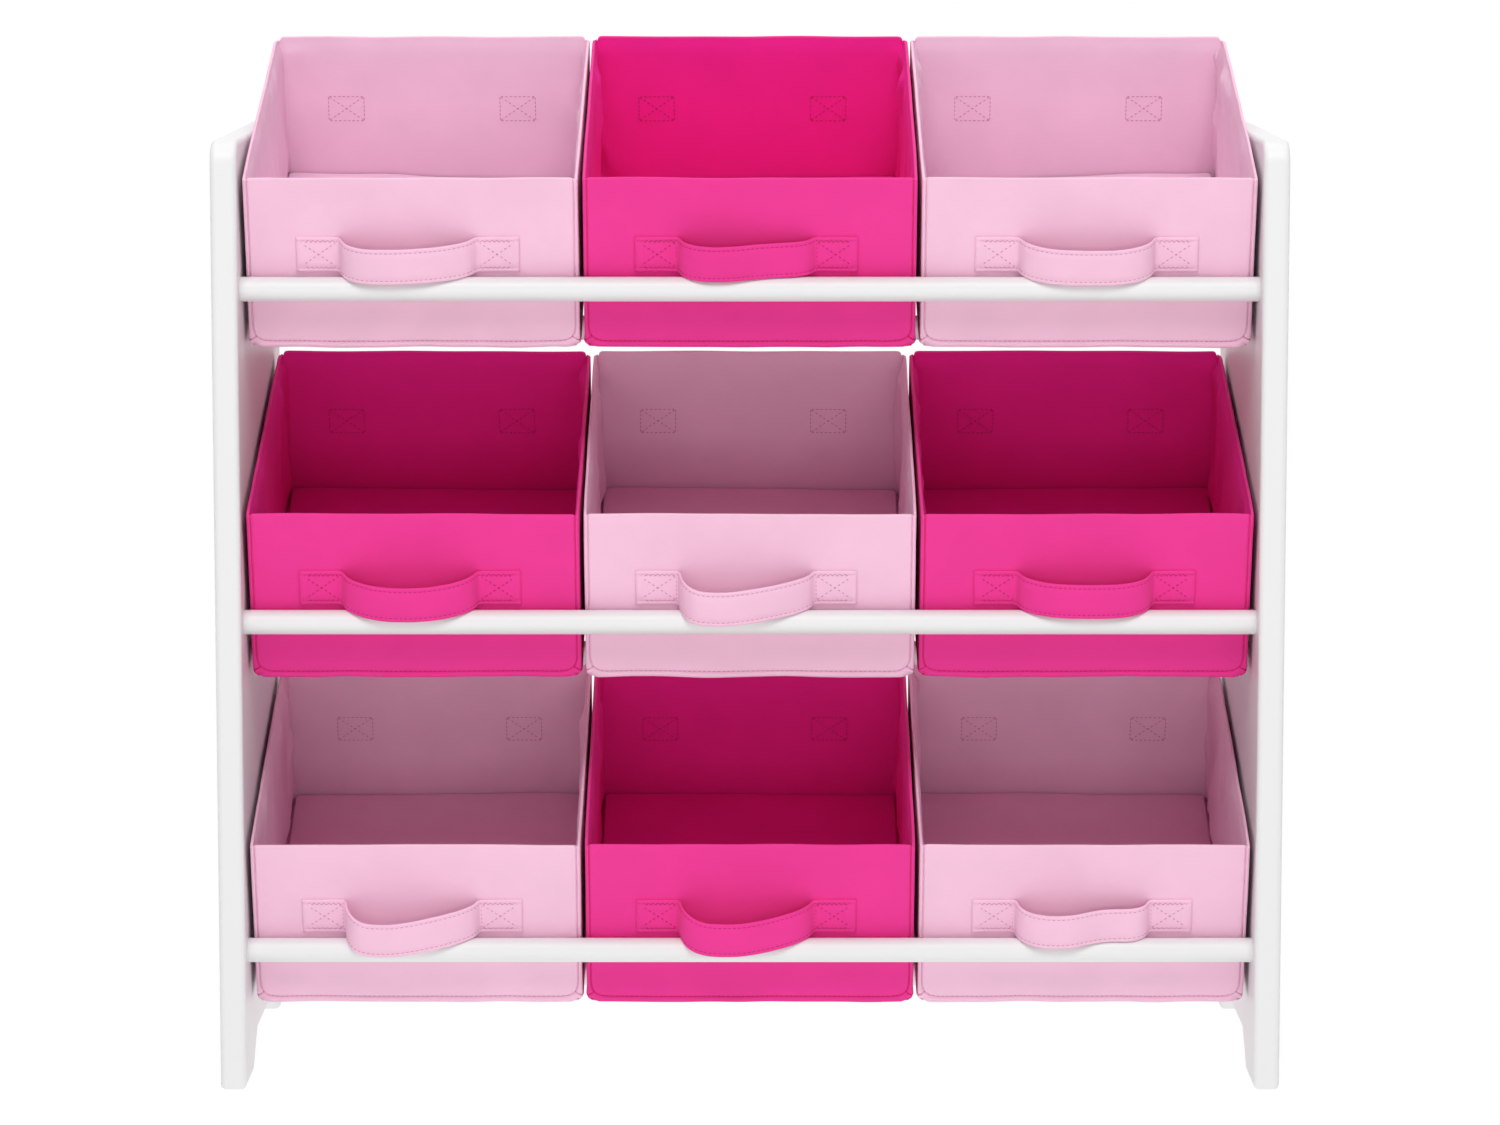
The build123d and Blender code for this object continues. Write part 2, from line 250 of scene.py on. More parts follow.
class Shader:
    """A material's node tree, with short calls for the nodes that are used here."""

    def __init__(self, name):
        self.material = bpy.data.materials.new(name)
        self.material.use_nodes = True
        self.nodes = self.material.node_tree.nodes
        self.surface = self.nodes["Principled BSDF"]

    def link(self, source, target):
        self.material.node_tree.links.new(source, target)

    def add(self, kind, inputs=(), **settings):
        node = self.nodes.new(kind)
        for key, value in settings.items():
            setattr(node, key, value)
        for key, value in dict(inputs).items():
            if isinstance(value, bpy.types.NodeSocket):
                self.link(value, node.inputs[key])
            else:
                node.inputs[key].default_value = value
        return node

    def place(self, rotation=(0, 0, 0), scale=(1, 1, 1)):
        """Place on the piece, turned and scaled."""
        source = self.add("ShaderNodeTexCoord").outputs["Object"]
        settings = {"Vector": source, "Rotation": rotation, "Scale": scale}
        return self.add("ShaderNodeMapping", settings).outputs["Vector"]

    def noise(self, where, scale, detail=2.0, roughness=0.5):
        settings = {"Vector": where, "Scale": scale, "Detail": detail, "Roughness": roughness}
        return self.add("ShaderNodeTexNoise", settings).outputs["Fac"]

    def bands(self, where, pitch, direction):
        """Slightly wavy bands across a direction. The wave node repeats 20 times in each turn of tau."""
        settings = {"Vector": where, "Scale": math.tau / (20 * pitch), "Distortion": 0.6}
        choices = {"wave_type": "BANDS", "bands_direction": direction}
        return self.add("ShaderNodeTexWave", settings, **choices).outputs["Fac"]

    def math(self, operation, first, second):
        return self.add("ShaderNodeMath", {0: first, 1: second}, operation=operation).outputs[0]

    def between(self, amount, low, high):
        """low to high, as amount goes from 0 to 1."""
        settings = {"Value": amount, "To Min": low, "To Max": high}
        return self.add("ShaderNodeMapRange", settings).outputs["Result"]

    def shaded(self, colour, value):
        """A colour made lighter or darker by a factor."""
        settings = {"Color": (*colour, 1), "Value": value}
        return self.add("ShaderNodeHueSaturation", settings).outputs["Color"]

    def bump(self, height, strength, distance):
        settings = {"Height": height, "Strength": strength, "Distance": distance}
        self.link(self.add("ShaderNodeBump", settings).outputs["Normal"], self.surface.inputs["Normal"])

    def set(self, **values):
        """Constants on the surface shader; an underscore in a name stands for a space."""
        for key, value in values.items():
            self.surface.inputs[key.replace("_", " ")].default_value = value


def cloth(name, colour, specular=0.14, sheen=0.04):
    """Fine, pressed cloth: threads along the bin's own three directions, fibres and soft mottling."""
    s = Shader(name)
    where = s.place(rotation=(-BIN_TILT, 0, 0))
    across, along, up = (s.bands(where, THREAD_PITCH * MM, direction) for direction in ("X", "Y", "Z"))
    threads = s.math("ADD", s.math("ADD", across, along), up)
    fibres = s.noise(where, FIBRE_SCALE, detail=3.0, roughness=0.6)
    mottling = s.noise(where, MOTTLING_SCALE, detail=4.0, roughness=0.55)
    value = s.math("ADD", s.between(mottling, 0.93, 1.07), s.between(fibres, -0.03, 0.03))
    s.link(s.shaded(colour, value), s.surface.inputs["Base Color"])
    height = s.math("ADD", s.between(threads, 0, 0.7), s.between(fibres, 0, 0.5))
    s.bump(height, 0.35, 0.12 * MM)
    s.link(s.between(fibres, 0.78, 0.95), s.surface.inputs["Roughness"])
    s.set(Specular_IOR_Level=specular, Sheen_Weight=sheen, Sheen_Roughness=0.5)
    return s.material


def thread(name, colour):
    """Sewing thread, mottled by its twist. Its colour, darker than the cloth, is partly its own and partly
    painted shade of the dents where it sinks in.
    """
    s = Shader(name)
    twist = s.noise(s.place(), TWIST_SCALE)
    s.link(s.shaded(colour, s.between(twist, 0.85, 1.1)), s.surface.inputs["Base Color"])
    s.bump(twist, 0.5, 0.1 * MM)
    s.set(Roughness=0.6, Specular_IOR_Level=0.3)
    return s.material


def lacquer(name, colour, stretch=(1, 1, 1)):
    """Satin paint: a faint orange peel, with a slight unevenness in colour and gloss."""
    s = Shader(name)
    peel = s.noise(s.place(scale=stretch), ORANGE_PEEL_SCALE)
    patches = s.noise(s.place(), PATCH_SCALE, detail=3.0)
    s.link(s.shaded(colour, s.between(patches, 0.985, 1.01)), s.surface.inputs["Base Color"])
    s.link(s.between(patches, 0.34, 0.46), s.surface.inputs["Roughness"])
    s.bump(peel, 0.12, 0.08 * MM)
    s.set(Specular_IOR_Level=0.4)
    return s.material


def zinc(name, colour):
    """Bright plated metal with a fine grain along the screw."""
    s = Shader(name)
    grain = s.noise(s.place(scale=(1, 1, 6)), ZINC_GRAIN_SCALE, detail=3.0)
    s.link(s.shaded(colour, s.between(grain, 0.85, 1.1)), s.surface.inputs["Base Color"])
    s.link(s.between(grain, 0.25, 0.45), s.surface.inputs["Roughness"])
    s.bump(grain, 0.2, 0.05 * MM)
    s.set(Metallic=1.0)
    return s.material


def moulded_plastic(name, colour):
    """Slightly grained plastic."""
    s = Shader(name)
    grain = s.noise(s.place(), PLASTIC_GRAIN_SCALE)
    s.link(s.shaded(colour, s.between(grain, 0.97, 1.02)), s.surface.inputs["Base Color"])
    s.bump(grain, 0.25, 0.06 * MM)
    s.set(Roughness=0.5)
    return s.material


LIGHT_PINK = (0.895, 0.545, 0.705)
HOT_PINK = (0.835, 0.043, 0.297)
# The linings' colours are the cloth's own, shifted to paint the shade inside the bins: the hot pink
# deeper, the light pink greyer.
LIGHT_PINK_LINING_WITH_SHADE = (0.87, 0.585, 0.73)
HOT_PINK_LINING_WITH_SHADE = (0.84, 0.024, 0.325)
# The threads' colours are partly their own and partly painted shade: darker than the cloth, as the dents
# where stitches sink in look.
LIGHT_PINK_THREAD_WITH_SHADE = (0.66, 0.28, 0.45)
HOT_PINK_THREAD_WITH_SHADE = (0.52, 0.012, 0.13)
BOARD_WHITE = (0.79, 0.79, 0.79)
DOWEL_WHITE = (0.8, 0.8, 0.8)
CAP_WHITE = (0.84, 0.84, 0.84)
ZINC_GREY = (0.62, 0.62, 0.64)

CLOTHS = {
    "light_pink_fabric": cloth("light pink cloth", LIGHT_PINK),
    "hot_pink_fabric": cloth("hot pink cloth", HOT_PINK),
}
# Linings, also used on the floor inserts, with painted shade in their colours.
LININGS_WITH_SHADE = {
    "light_pink_fabric": cloth("light pink lining", LIGHT_PINK_LINING_WITH_SHADE, specular=0.08, sheen=0.02),
    "hot_pink_fabric": cloth("hot pink lining", HOT_PINK_LINING_WITH_SHADE, specular=0.05, sheen=0.01),
}
# Threads whose colours carry painted shade.
THREADS_WITH_SHADE = {
    "light_pink_fabric": thread("light pink thread", LIGHT_PINK_THREAD_WITH_SHADE),
    "hot_pink_fabric": thread("hot pink thread", HOT_PINK_THREAD_WITH_SHADE),
}
FRAME_FINISHES = {
    "white_lacquered_board": lacquer("white lacquered board", BOARD_WHITE),
    "white_lacquered_dowel": lacquer("white lacquered dowel", DOWEL_WHITE, stretch=(0.15, 1, 1)),
    "steel": zinc("zinc plated steel", ZINC_GREY),
    "white_plastic": moulded_plastic("white plastic cap", CAP_WHITE),
}
SLOT_OF = {part["node"]: part["material_slot"] for part in frame["record"]["subparts"]}

# ---------------------------------------------------------------- a bin's place and shape


class Bin:
    """One bin's place in the frame, and the shape that its cloth walls take."""

    def __init__(self, tier, column):
        self.key = f"{TIERS[tier]}_{COLUMNS[column]}"
        self.name = f"bin_{self.key}"
        self.number = len(COLUMNS) * tier + column
        self.slot = SLOT_OF[f"{self.name}_cover"]
        low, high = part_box(f"{self.name}_cover")
        low, high = low / MM, high / MM
        self.tilt_sin, self.tilt_cos = math.sin(BIN_TILT), math.cos(BIN_TILT)
        self.width = high.x - low.x
        self.corner = Vector(((low.x + high.x) / 2, low.y + BIN_FRONT_HEIGHT * self.tilt_sin, low.z))
        self.depth = (high.y - self.corner.y) / self.tilt_cos
        rear_rim = high.z - self.corner.z - self.depth * self.tilt_sin
        self.rear_height = rear_rim / self.tilt_cos

    def place(self, x, depth, height):
        """A point of the bin's frame, as a point in the scene."""
        y = depth * self.tilt_cos - height * self.tilt_sin
        z = depth * self.tilt_sin + height * self.tilt_cos
        return (self.corner + Vector((x, y, z))) * MM

    def wave(self, use, *place):
        """Smooth noise of this bin's own, for one of the uses in NOISE_OF."""
        return wave(self.number + NOISE_OF[use], *place)

    def rim(self, depth):
        """Height of the rim, which slopes down a little to the rear."""
        share = depth / self.depth
        return BIN_FRONT_HEIGHT + (self.rear_height - BIN_FRONT_HEIGHT) * share

    def swell(self, x, depth, height):
        """How far the end walls and the side walls stand out of their planes here."""
        up = min(max(height / self.rim(depth), 0.0), 1.0)
        across = 2 * x / self.width
        along = 2 * depth / self.depth - 1
        belly = math.sin(math.pi * up)
        flare = smooth_step(up, 0.55, 1.0)
        ends = END_BOW * (1 - across**2) * belly
        ripple = self.wave("end walls", x / 55, height / 45, depth / 300)
        ends += END_RIPPLE * ripple * smooth_step(up, 0.0, 0.2)
        sides = SIDE_BOW * (1 - along**4) * (0.6 * belly + 0.45 * flare)
        sides += REAR_FLARE * smooth_step(along, 0.4, 1.0)
        sides += SIDE_RIPPLE * self.wave("side walls", depth / 60, height / 50, x / 300)
        return ends, sides

    def near_corner(self, x, depth, reach):
        """1 at an upright corner, falling to 0 at a distance."""
        gap = math.hypot(self.width / 2 - abs(x), min(depth, self.depth - depth))
        return 1 - smooth_step(gap, 2.0, reach)

    def seam_pull(self, x, height):
        """How far an end wall's cloth is drawn in and up, where the seam cuts across a lower corner."""
        beside = self.width / 2 - abs(x) - SEAM_INSET
        above = height - HEM_HEIGHT
        pull = SEAM_ROUNDING
        for distance, strip in ((beside, SEAM_INSET), (above, HEM_HEIGHT)):
            if distance > 0:
                pull *= max(0.0, 1 - distance / SEAM_ROUNDING_REACH) ** 2
            else:
                pull *= max(0.0, 1 + distance / strip)
        return pull

    def fold(self, x, depth, height, normal):
        """Height of the folds in the lining: slanting ones on the side walls, most of them to the rear."""
        along = depth if abs(normal[0]) > 0.7 else x
        folds = 0.0
        for use, slant, share in zip(("first folds", "second folds"), FOLD_SLANTS, (1.0, 0.7)):
            place = (along + slant * height) / FOLD_SPACING
            crease = abs(self.wave(use, place, normal[0] * 5, height / 190))
            folds += share * max(0.0, 1 - FOLD_SHARPNESS * crease) ** 1.3
        crowd = 0.3 + 0.7 * smooth_step(depth, 0.4 * self.depth, 0.85 * self.depth)
        if abs(normal[1]) > 0.7:
            crowd *= 0.8 * self.near_corner(x, depth, 34.0)
        swell = 0.5 + 0.5 * self.wave("lining", along / 45, height / 45)
        return (LINING_FOLD * folds + 0.5 * swell) * crowd

    def bend(self, x, depth, height, normal):
        """Moves a point of the plain box to where the cloth really is."""
        ends, sides = self.swell(x, depth, height)
        up = height / self.rim(depth)
        nx, nd = normal
        low = max(0.0, 1 - height / LOWER_REACH)
        corner = self.near_corner(x, depth, LOWER_REACH)
        tuck = LOWER_TUCK * low**2 * corner
        lift = LOWER_LIFT * low * corner**2
        along_rim = (x + 1.7 * depth) / 48
        lift += RIM_WAVE * self.wave("rim", along_rim, depth / 90) * smooth_step(up, 0.75, 1.0)
        dip = CORNER_DIP * (1 - smooth_step(self.width / 2 - abs(x), 0.0, CORNER_DIP_WIDTH))
        dip *= 1 - smooth_step(self.depth - depth, 0.0, CORNER_DIP_LENGTH)
        dip += EVERY_CORNER_DIP * self.near_corner(x, depth, CORNER_DIP_WIDTH) ** 2
        lift -= dip * smooth_step(up, 0.85, 1.0)
        if abs(nd) > 0.7:
            hem = HEM_WAVE * self.wave("hem", x / 28, 0.3 * depth / self.depth)
            lift += hem * (1 - smooth_step(height, 1, 9))
            pull = self.seam_pull(x, height)
            x -= math.copysign(pull, x)
            lift += pull
        x += math.copysign(sides, nx) * abs(nx) - tuck * nx
        depth += math.copysign(ends, nd) * abs(nd) - tuck * nd
        return x, depth, height + lift


BINS = [Bin(tier, column) for tier in range(len(TIERS)) for column in range(len(COLUMNS))]


def around_the_walls(box):
    """Points once around the outside of a bin: x, depth, outward normal and distance to the seam."""
    half = box.width / 2
    r = WALL_CORNER
    seam = SEAM_INSET - r
    groove = SEAM_HALF_WIDTH
    near = [0.0, 0.25, seam - groove / 2, seam, seam + groove / 2, seam + groove]
    near += [2.4, 4.0, 6.0, 8.5, 11.5, 15.0]

    def stops(length, count):
        return near + spaced(18.0, length - 18.0, count) + [length - s for s in reversed(near)]

    across, along = box.width - 2 * r, box.depth - 2 * r
    sides = (                     # start, direction, outward normal, length, stops between its ends
        ((-half + r, 0), (1, 0), (0, -1), across, 30),
        ((half, r), (0, 1), (1, 0), along, 84),
        ((half - r, box.depth), (-1, 0), (0, 1), across, 46),
        ((-half, box.depth - r), (0, -1), (-1, 0), along, 84),
    )
    around = []
    for (x, depth), (dx, dd), normal, length, count in sides:
        for s in stops(length, count):
            to_seam = min(s, length - s) - seam if normal[1] else None
            around.append((x + dx * s, depth + dd * s, normal, to_seam))
        turn = math.atan2(normal[1], normal[0])
        centre = (x + dx * length - normal[0] * r, depth + dd * length - normal[1] * r)
        for degrees in (22.5, 45, 67.5):
            angle = turn + math.radians(degrees)
            n = (math.cos(angle), math.sin(angle))
            around.append((centre[0] + n[0] * r, centre[1] + n[1] * r, n, None))
    return around


def wall_profile(rim):
    """Insets from the outside and heights: up a wall and over its rim, then down its lining."""
    hem = HEM_HEIGHT
    outside = [
        (1.7, 0.0), (0.5, 0.15), (-0.25, 0.8), (-HEM_BULGE, 1.9), (-0.5, 2.8), (-0.3, hem - 0.8),
        (0.5, hem - 0.3), (SEAM_DEPTH, hem), (0.5, hem + 0.3), (0.0, hem + 0.8), (-0.1, hem + 1.6),
    ]
    outside += [(0.0, h) for h in (7.5, 9.5, 12.0, 15.0)]
    outside += [(0.0, h) for h in spaced(19.0, rim - 8.0, 13)]
    half = RIM_THICKNESS / 2
    over = [
        (half - half * math.cos(a), rim - half + half * math.sin(a))
        for a in (math.radians(d) for d in spaced(0, 180, 9))
    ]
    top = [(0.0, rim - 5.0), (0.0, rim - 2.4)]
    inside = [(RIM_THICKNESS + 0.1, rim - 2.4), (WALL - 0.5, rim - 5.0), (WALL, rim - 8.0)]
    inside += [(WALL, h) for h in spaced(rim - 12.0, 8.0, 16)]
    inside += [(WALL, 4.0), (WALL, 1.6), (WALL - 0.2, 0.2)]
    return outside + top + over, inside


def make_cover(box):
    """The sewn walls with their hem, seams and folded rim, and the cloth floor."""
    around = around_the_walls(box)
    rims = [box.rim(depth) for _, depth, _, _ in around]
    profiles = [outer + inner for outer, inner in map(wall_profile, rims)]
    rows, columns = len(profiles[0]), len(around)
    points = []
    for row in range(rows):
        for (x, depth, normal, to_seam), rim, profile in zip(around, rims, profiles):
            inset, height = profile[row]
            notch = 0.0
            if to_seam is not None:
                groove = max(0.0, 1 - abs(to_seam) / SEAM_HALF_WIDTH)
                if inset < WALL / 2 and height > HEM_HEIGHT + 0.1:
                    inset += SEAM_DEPTH * groove
                notch = RIM_NOTCH * groove * smooth_step(height, rim - 3.0, rim)
            if inset >= WALL:
                settled = smooth_step(height, 2, 16) * (1 - smooth_step(height, rim - 12, rim - 3))
                inset += box.fold(x, depth, height, normal) * settled
            bent = box.bend(x, depth, height, normal)
            inward = (bent[0] - normal[0] * inset, bent[1] - normal[1] * inset, bent[2] - notch)
            points.append(box.place(*inward))
    faces = grid_faces(rows, columns, wrap_rows=True, wrap_columns=True)
    floor_points, floor_faces = slab(
        box, box.width - WALL, box.depth - WALL, CLOTH_FLOOR, 0.2, CLOTH_FLOOR_CORNER, first=len(points)
    )
    outer, _ = wall_profile(BIN_FRONT_HEIGHT)
    lined = range(columns * (len(outer) - 1), columns * (rows - 1))
    # The lining faces take the lining's colour, with its painted shade.
    cover = make_piece(
        f"{box.name}_sewn_cover", points + floor_points, faces + floor_faces,
        CLOTHS[box.slot], box.name, LININGS_WITH_SHADE[box.slot], lined,
    )
    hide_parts(f"{box.name}_cover", f"{box.name}_wall_boards")


def slab(box, width, length, thickness, bottom, corner, lift=lambda x, depth: 0.0, first=0):
    """A flat closed piece with a rounded edge, lying in the bin. lift(x, depth) raises it locally."""
    rim = [0.0, 0.25, 0.7, 1.3]

    def stops(size, count):
        return rim + spaced(4.0, size - 4.0, count) + [size - s for s in reversed(rim)]

    xs = [s - width / 2 for s in stops(width, 34)]
    ds = stops(length, 40)
    start = (box.depth - length) / 2
    radius = thickness / 2
    points, index = [], {}

    def rounded(x, d):
        """Pulls the four corners in to a radius."""
        cx, cd = width / 2 - corner, length / 2 - corner
        ox, od = abs(x) - cx, abs(d - length / 2) - cd
        if ox > 0 and od > 0:
            share = max(ox, od) / math.hypot(ox, od)
            ox, od = ox * share, od * share
            x = math.copysign(cx + ox, x)
            d = length / 2 + math.copysign(cd + od, d - length / 2)
        return x, d

    for top in (True, False):
        for i, d in enumerate(ds):
            for j, x in enumerate(xs):
                edge = min(x + width / 2, width / 2 - x, d, length - d)
                if edge <= 0 and not top:
                    index[top, i, j] = index[True, i, j]
                    continue
                t = min(edge / radius, 1.0)
                half = radius * math.sqrt(max(0.0, 1 - (1 - t) ** 2))
                rx, rd = rounded(x, d)
                depth = start + rd
                height = bottom + radius + (half if top else -half) + lift(rx, depth)
                index[top, i, j] = first + len(points)
                points.append(box.place(rx, depth, height))
    faces = []
    for top in (True, False):
        for i in range(len(ds) - 1):
            for j in range(len(xs) - 1):
                quad = [index[top, a, b] for a, b in ((i, j), (i, j + 1), (i + 1, j + 1), (i + 1, j))]
                faces.append(tuple(quad if top else reversed(quad)))
    return points, faces


def make_insert(box):
    """The loose, cloth-covered board on the floor of a bin."""
    width = box.width - 2 * (WALL + INSERT_GAP)
    length = box.depth - 2 * (WALL + INSERT_END_GAP)

    def lift(x, depth):
        rear = smooth_step(depth, box.depth - INSERT_CURL_LENGTH, box.depth)
        left, right = INSERT_CURLS[box.key]
        curl = left + (right - left) * smooth_step(x, -width / 2, width / 2)
        curl *= (1 + 0.3 * box.wave("insert curl", x / 38)) * rear
        return curl + INSERT_WAVE * (1 + box.wave("insert", x / 50, depth / 50))

    points, faces = slab(box, width, length, INSERT_THICKNESS, CLOTH_FLOOR + 0.1, INSERT_CORNER, lift)
    # The insert takes the lining's colour, with its painted shade.
    insert = make_piece(f"{box.name}_floor_insert", points, faces, LININGS_WITH_SHADE[box.slot], box.name)
    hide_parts(f"{box.name}_base_board")


# ---------------------------------------------------------------- straps


def wall_surface(box, rear, x, height, out):
    """A point at a distance in front of an end wall's outer face, in the bin's frame."""
    depth = box.depth if rear else 0.0
    direction = 1 if rear else -1
    ends, _ = box.swell(x, depth, height)
    return Vector((x, depth + direction * (ends + out), height))


def strap_span(rear):
    """Length over both sewn ends."""
    return REAR_STRAP_SPAN if rear else FRONT_STRAP_SPAN


def strap_height(box, rear):
    """Height of the middle of a strap's sewn ends."""
    rim = box.rear_height if rear else BIN_FRONT_HEIGHT
    return rim - STRAP_DROP - STRAP_WIDTH / 2


def strap_line(box, rear, loop):
    """The strap's middle line: flat on the wall, out around the loop, and flat on the wall again."""
    middle = strap_height(box, rear)
    flat = STRAP_THICKNESS / 2 - STRAP_SUNK
    root, end = STRAP_LOOP / 2, strap_span(rear) / 2
    raw = [(x, flat, middle) for x in spaced(-end, -root, 10)]
    for angle in spaced(-90, 90, 49)[1:-1]:
        a = math.radians(angle)
        square = loop.left_square if angle < 0 else loop.right_square
        half = root + loop.deepest if angle < 0 else root - loop.deepest
        share = abs(math.sin(a)) ** (2 / square)
        x = loop.deepest + math.copysign(half * share, a)
        out = flat + (loop.reach - STRAP_THICKNESS / 2 - flat) * math.cos(a) ** (2 / LOOP_SQUARE)
        if angle > 0:
            out -= loop.dent * math.sin(math.pi * share) ** 2
        raw.append((x, out, middle - loop.sag * math.cos(a) ** 3))
    raw += [(x, flat, middle) for x in spaced(root, end, 10)]
    line = resampled([Vector((loop.sewn_at + x, out, h)) for x, out, h in raw], STRAP_STEP)
    for _ in range(loop.softness):
        line = line[:1] + [(a + 2 * b + c) / 4 for a, b, c in zip(line, line[1:], line[2:])] + line[-1:]
    return resampled([wall_surface(box, rear, x, h, out) for x, out, h in line], STRAP_STEP)


def resampled(line, step):
    """The same line with its points a step apart."""
    lengths = [0.0]
    for a, b in zip(line, line[1:]):
        lengths.append(lengths[-1] + (b - a).length)
    count = max(2, round(lengths[-1] / step) + 1)
    result, k = [], 0
    for s in spaced(0.0, lengths[-1], count):
        while k < len(line) - 2 and lengths[k + 1] < s:
            k += 1
        share = (s - lengths[k]) / (lengths[k + 1] - lengths[k])
        result.append(line[k].lerp(line[k + 1], share))
    return result


def strap_section(width, thickness):
    """Once around the strap's section: place across it, and height above its middle."""
    half = width / 2
    across = [0.15 - half, 0.6 - half, 1.3 - half]
    across += [-STRAP_SEAM - 0.6, -STRAP_SEAM, -STRAP_SEAM + 0.6, -STRAP_SEAM / 2, 0]
    across += [-a for a in reversed(across[:-1])]
    top = []
    for a in across:
        edge = min(half - abs(a), 1.0)
        height = thickness / 2 * math.sqrt(1 - (1 - edge) ** 2)
        if abs(abs(a) - STRAP_SEAM) < 0.1:
            height -= STRAP_SEAM_DEPTH
        top.append((a, height))
    bottom = [(a, -h) for a, h in reversed(top)]
    return [(-half, 0.0)] + top + [(half, 0.0)] + bottom


class StrapFrame:
    """A place along a strap, with the directions along it, across it and out of it."""

    def __init__(self, line, k, rear):
        before, after = line[max(k - 1, 0)], line[min(k + 1, len(line) - 1)]
        self.middle = line[k]
        along = (after - before).normalized()
        up = Vector((0, 0, 1))
        self.across = (up - along * up.dot(along)).normalized()
        self.out = self.across.cross(along) if rear else along.cross(self.across)

    def at(self, across, out):
        return self.middle + self.across * across + self.out * out


def make_strap(box, rear, loop, stitches):
    """A strap with its turned-under ends, its two rows of stitches and its stitched boxes."""
    line = strap_line(box, rear, loop)
    section = strap_section(STRAP_WIDTH, STRAP_THICKNESS)
    frames = [StrapFrame(line, k, rear) for k in range(len(line))]
    points = []
    last = len(frames) - 1
    folded = round(STRAP_FOLD / STRAP_STEP)
    for k, place in enumerate(frames):
        from_end = min(k, last - k)
        thickness = FOLDED_THICKNESS if from_end <= folded else 1.0
        if from_end == 0:
            thickness = END_THICKNESS
        fray = 1 + STRAP_FRAY * box.wave("strap edge", k / 6)
        for across, out in section:
            points.append(box.place(*place.at(across * fray, out * thickness)))
    faces = grid_faces(len(frames), len(section), wrap_columns=True)
    faces.append(tuple(reversed(range(len(section)))))
    faces.append(tuple(last * len(section) + i for i in range(len(section))))
    side = "rear" if rear else "front"
    strap = make_piece(f"{box.name}_{side}_strap", points, faces, CLOTHS[box.slot], box.name)
    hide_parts(f"{box.name}_{side}_handle")
    groove = STRAP_THICKNESS / 2 - STRAP_SEAM_DEPTH
    for row in (-STRAP_SEAM, STRAP_SEAM):
        stitches.sew([(f.at(row, groove), f.out) for f in frames[2:-2]])
    sew_boxes(box, rear, loop.sewn_at, stitches)


# ---------------------------------------------------------------- stitching


class Stitches:
    """All the stitches of one bin, gathered into one mesh."""

    def __init__(self, box):
        self.box, self.points, self.faces = box, [], []

    def sew(self, path):
        """Even stitches along a path of (point, outward normal) pairs in the bin's frame."""
        length = sum((b - a).length for (a, _), (b, _) in zip(path, path[1:]))
        pitch = length / max(1, round(length / STITCH_PITCH))
        travelled, due = 0.0, pitch / 2
        for (a, normal), (b, _) in zip(path, path[1:]):
            step = (b - a).length
            while due < travelled + step:
                self.stitch(a.lerp(b, (due - travelled) / step), (b - a).normalized(), normal)
                due += pitch
            travelled += step

    def stitch(self, middle, along, out):
        """One stitch: a short thread that dips into the cloth at both ends."""
        across = along.cross(out).normalized()
        first = len(self.points)
        for place, size, rise in STITCH_RINGS:
            centre = middle + along * (place * STITCH_LENGTH / 2) + out * rise
            for k in range(STITCH_SIDES):
                a = math.tau * k / STITCH_SIDES
                radius = STITCH_RADIUS * size
                offset = across * (math.cos(a) * radius) + out * (math.sin(a) * radius)
                self.points.append(self.box.place(*(centre + offset)))
        rings = len(STITCH_RINGS)
        self.faces += grid_faces(rings, STITCH_SIDES, wrap_columns=True, first=first)
        self.faces.append(tuple(first + k for k in reversed(range(STITCH_SIDES))))
        self.faces.append(tuple(first + STITCH_SIDES * (rings - 1) + k for k in range(STITCH_SIDES)))

    def finish(self):
        name = f"{self.box.name}_stitching"
        # The thread's colour carries painted shade.
        make_piece(name, self.points, self.faces, THREADS_WITH_SHADE[self.box.slot], self.box.name)


def box_strokes(x, height):
    """The sides of a stitched box and its cross, as pairs of ends."""
    low_left, low_right, high_right, high_left = [
        (x + side * BOX_WIDTH / 2, height + end * BOX_HEIGHT / 2)
        for side, end in ((-1, -1), (1, -1), (1, 1), (-1, 1))
    ]
    outline = [low_left, low_right, high_right, high_left, low_left]
    return list(zip(outline, outline[1:])) + [(low_left, high_right), (high_left, low_right)]


def sew_boxes(box, rear, sewn_at, stitches):
    """The stitched boxes on a strap's sewn ends, outside on the strap and inside on the lining."""
    direction = 1 if rear else -1
    for side in (-1, 1):
        x = sewn_at + side * (STRAP_LOOP + strap_span(rear)) / 4
        for (x1, h1), (x2, h2) in box_strokes(x, strap_height(box, rear)):
            outside, inside = [], []
            for share in spaced(0.0, 1.0, 12):
                px, ph = x1 + (x2 - x1) * share, h1 + (h2 - h1) * share
                on_strap = wall_surface(box, rear, px, ph, STRAP_THICKNESS - STRAP_SUNK + 0.02)
                on_lining = wall_surface(box, rear, px, ph, -WALL - 0.05)
                outside.append((on_strap, Vector((0, direction, 0))))
                inside.append((on_lining, Vector((0, -direction, 0))))
            stitches.sew(outside)
            stitches.sew(inside)


def sew_hem(box, stitches):
    """The row of stitches in the groove above the hem, all the way round. Their dark thread also paints
    the groove's shade line.
    """
    path = []
    for x, depth, normal, _ in around_the_walls(box):
        bent = Vector(box.bend(x, depth, HEM_HEIGHT, normal))
        out = Vector((*normal, 0))
        path.append((bent - out * HEM_STITCH_INSET, out))
    stitches.sew(path + path[:1])


# ---------------------------------------------------------------- make everything


